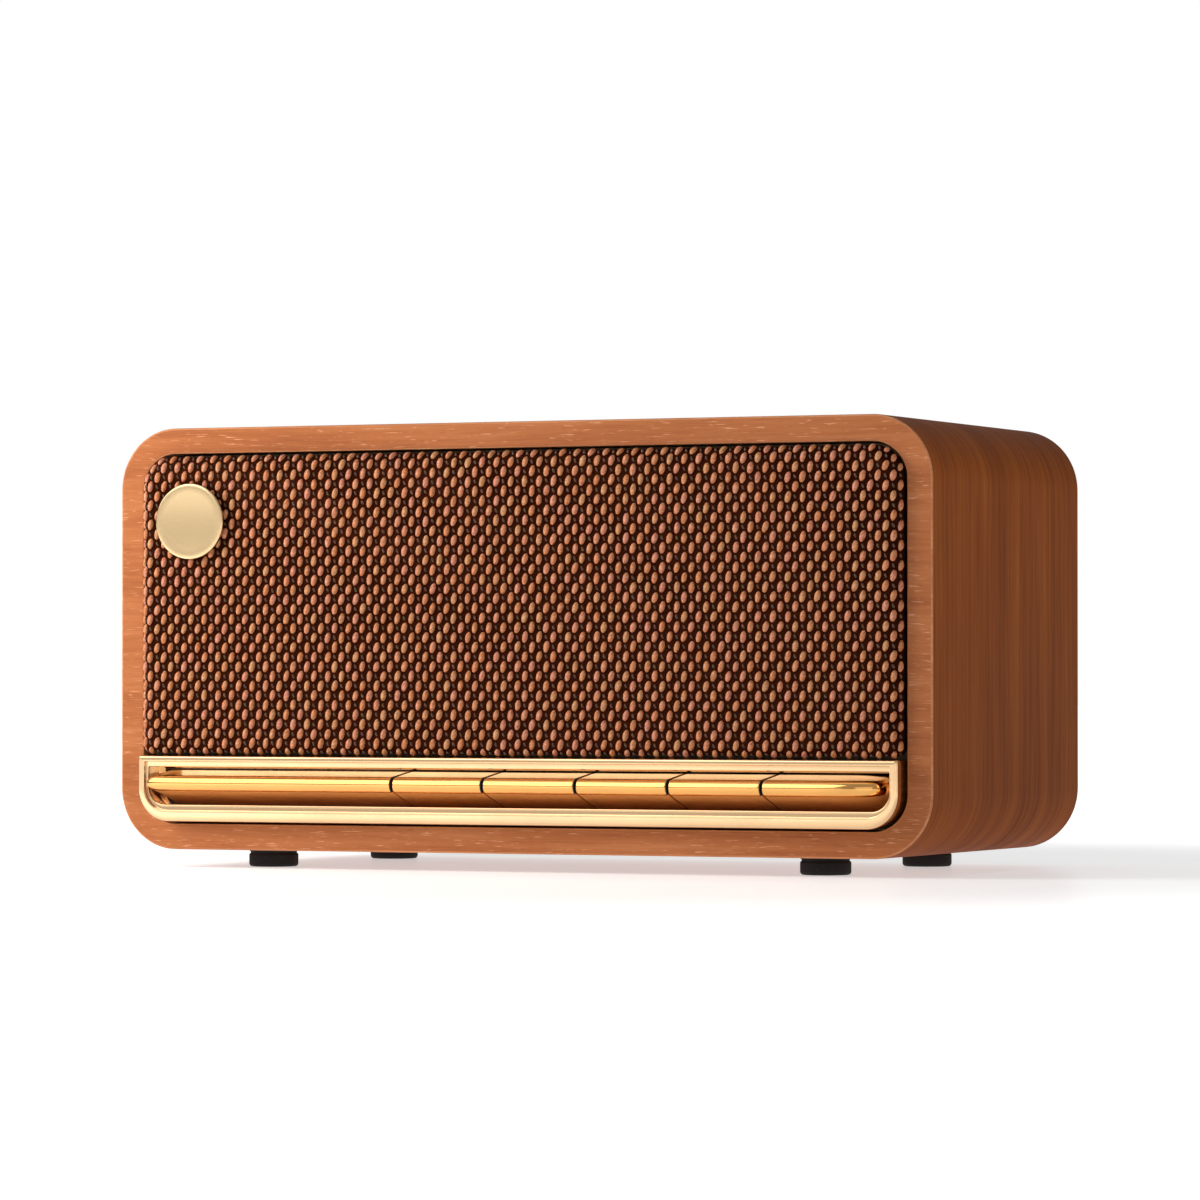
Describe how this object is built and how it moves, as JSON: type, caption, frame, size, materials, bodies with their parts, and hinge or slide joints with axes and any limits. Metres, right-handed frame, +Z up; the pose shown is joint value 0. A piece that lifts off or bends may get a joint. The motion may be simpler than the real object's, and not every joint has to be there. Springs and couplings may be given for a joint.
{
  "type": "tabletop loudspeaker",
  "caption": "Retro tabletop loudspeaker: rounded veneered wooden case, woven grille with round badge, gold bezel with piano keys, rubber feet, rear port and sockets.",
  "frame": {"origin": "on the standing plane, under the middle of the whole loudspeaker", "axes": "+X to the object's right as seen from the front, +Y to the back, +Z up"},
  "size_m": [0.268, 0.134, 0.135],
  "materials": {
    "veneered_wood": "satin lacquered reddish-brown veneer",
    "gold_plating": "polished, gold plated",
    "satin_gold": "satin gold",
    "grille_weave": "coarse copper and dark brown weave",
    "black_rubber": "matt",
    "stained_panel": "dark stained",
    "fibreboard": "raw",
    "plated_steel": "zinc plated",
    "circuit_board": "solder mask",
    "cone_paper": "coated",
    "copper_winding": "enamelled wire",
    "battery_wrap": "shrink wrap",
    "black_plastic": "fine textured"
  },
  "bodies": {
    "cabinet": {"amp_heatsink": "plated_steel", "aux_jack": "black_plastic", "badge_disc": "satin_gold", "battery_pack": "battery_wrap", "cabinet_shell": "veneered_wood", "capacitor_1": "black_plastic", "capacitor_2": "black_plastic", "card_slot": "black_plastic", "driver_basket_left": "black_plastic", "driver_basket_right": "black_plastic", "driver_magnet_left": "plated_steel", "driver_magnet_right": "plated_steel", "driver_surround_left": "black_rubber", "driver_surround_right": "black_rubber", "foot_front_left": "black_rubber", "foot_front_right": "black_rubber", "foot_rear_left": "black_rubber", "foot_rear_right": "black_rubber", "front_baffle": "fibreboard", "grille_cloth": "grille_weave", "grille_frame": "black_plastic", "io_board": "circuit_board", "io_plate": "black_plastic", "key_bezel": "gold_plating", "key_bracket": "black_plastic", "key_pivot_shaft": "plated_steel", "key_spring_1": "plated_steel", "key_spring_2": "plated_steel", "key_spring_3": "plated_steel", "key_spring_4": "plated_steel", "key_spring_5": "plated_steel", "key_switch_1": "black_plastic", "key_switch_2": "black_plastic", "key_switch_3": "black_plastic", "key_switch_4": "black_plastic", "key_switch_5": "black_plastic", "key_switch_board": "circuit_board", "main_board": "circuit_board", "rear_batten_left": "fibreboard", "rear_batten_right": "fibreboard", "rear_panel": "stained_panel", "rear_screw_1": "plated_steel", "rear_screw_2": "plated_steel", "rear_screw_3": "plated_steel", "rear_screw_4": "plated_steel", "reflex_port": "black_plastic", "trim_bar": "gold_plating", "usb_socket": "plated_steel"},
    "key_power_body": {"key_power": "gold_plating"},
    "key_source_body": {"key_source": "gold_plating"},
    "key_volume_down_body": {"key_volume_down": "gold_plating"},
    "key_play_pause_body": {"key_play_pause": "gold_plating"},
    "key_volume_up_body": {"key_volume_up": "gold_plating"},
    "cone_left_body": {"driver_cone_left": "cone_paper", "voice_coil_left": "copper_winding"},
    "cone_right_body": {"driver_cone_right": "cone_paper", "voice_coil_right": "copper_winding"}
  },
  "joints": [
    {"name": "key_power_press", "type": "hinge", "parent": "cabinet", "child": "key_power_body", "pos_m": [-0.0221, -0.029, 0.026], "axis": [1, 0, 0], "range_deg": [0, 1.8], "stiffness_Nm_per_rad": 0.9, "springref_deg": -1.72},
    {"name": "key_source_press", "type": "hinge", "parent": "cabinet", "child": "key_source_body", "pos_m": [0.0081, -0.029, 0.026], "axis": [1, 0, 0], "range_deg": [0, 1.8], "stiffness_Nm_per_rad": 0.9, "springref_deg": -1.72},
    {"name": "key_volume_down_press", "type": "hinge", "parent": "cabinet", "child": "key_volume_down_body", "pos_m": [0.0386, -0.029, 0.026], "axis": [1, 0, 0], "range_deg": [0, 1.8], "stiffness_Nm_per_rad": 0.9, "springref_deg": -1.72},
    {"name": "key_play_pause_press", "type": "hinge", "parent": "cabinet", "child": "key_play_pause_body", "pos_m": [0.0685, -0.029, 0.026], "axis": [1, 0, 0], "range_deg": [0, 1.8], "stiffness_Nm_per_rad": 0.9, "springref_deg": -1.72},
    {"name": "key_volume_up_press", "type": "hinge", "parent": "cabinet", "child": "key_volume_up_body", "pos_m": [0.0983, -0.029, 0.026], "axis": [1, 0, 0], "range_deg": [0, 1.8], "stiffness_Nm_per_rad": 0.9, "springref_deg": -1.72},
    {"name": "cone_left_travel", "type": "slide", "parent": "cabinet", "child": "cone_left_body", "axis": [0, 1, 0], "range_m": [-0.0015, 0.0015], "stiffness_N_per_m": 1000, "deforming": ["driver_surround_left"]},
    {"name": "cone_right_travel", "type": "slide", "parent": "cabinet", "child": "cone_right_body", "axis": [0, 1, 0], "range_m": [-0.0015, 0.0015], "stiffness_N_per_m": 1000, "deforming": ["driver_surround_right"]}
  ]
}
